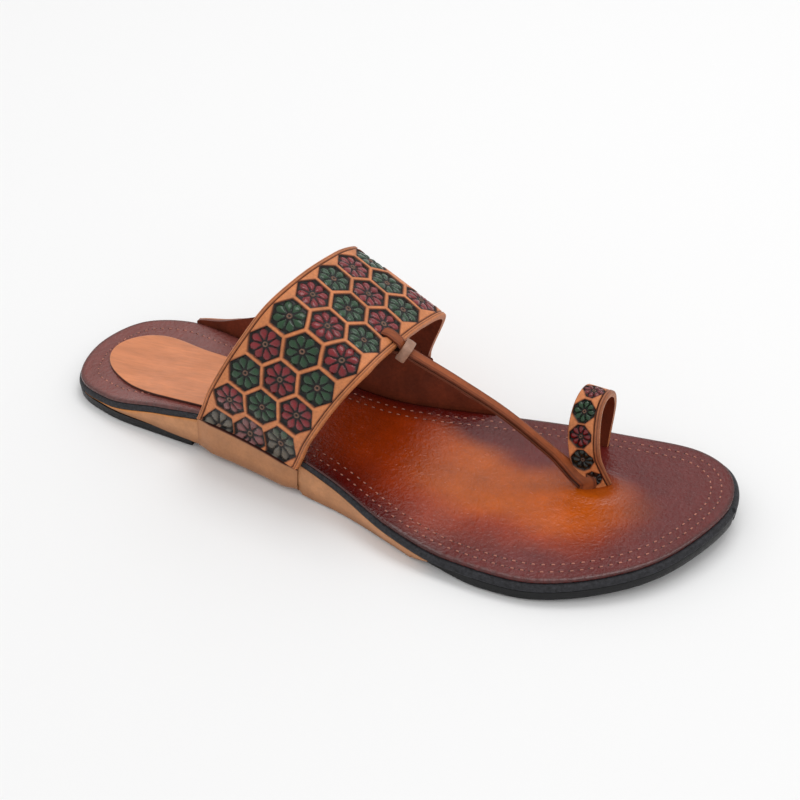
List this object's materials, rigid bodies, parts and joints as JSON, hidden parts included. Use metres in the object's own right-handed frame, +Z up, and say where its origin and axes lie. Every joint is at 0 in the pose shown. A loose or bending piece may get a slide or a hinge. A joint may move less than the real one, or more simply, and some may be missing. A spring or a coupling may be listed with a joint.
{
  "type": "kolhapuri chappal",
  "caption": "Open flat leather sandal for the right foot: wide embossed instep band, toe strap, toe ring and a low layered sole.",
  "frame": {"origin": "on the floor, under the middle of the sandal's bounding box", "axes": "+X from heel to toe, +Y to the inner (big toe) side, +Z up"},
  "size_m": [0.2668, 0.0974, 0.0723],
  "materials": {
    "upper": "embossed and hand-painted vegetable-tanned leather",
    "strap_keeper": "plain thin leather",
    "insole": "glazed maroon leather burnished to orange brown",
    "heel_pad": "satin tan leather",
    "topsole": "painted grey-black edge",
    "wedge": "matt natural leather",
    "waist_wrap": "satin natural leather",
    "forefoot_outsole": "black satin rubber",
    "heel_lift": "black satin rubber"
  },
  "bodies": {
    "root": {"upper": "upper", "strap_keeper": "strap_keeper", "insole": "insole", "heel_pad": "heel_pad", "topsole": "topsole", "wedge": "wedge", "waist_wrap": "waist_wrap", "forefoot_outsole": "forefoot_outsole", "heel_lift": "heel_lift"}
  },
  "joints": []
}
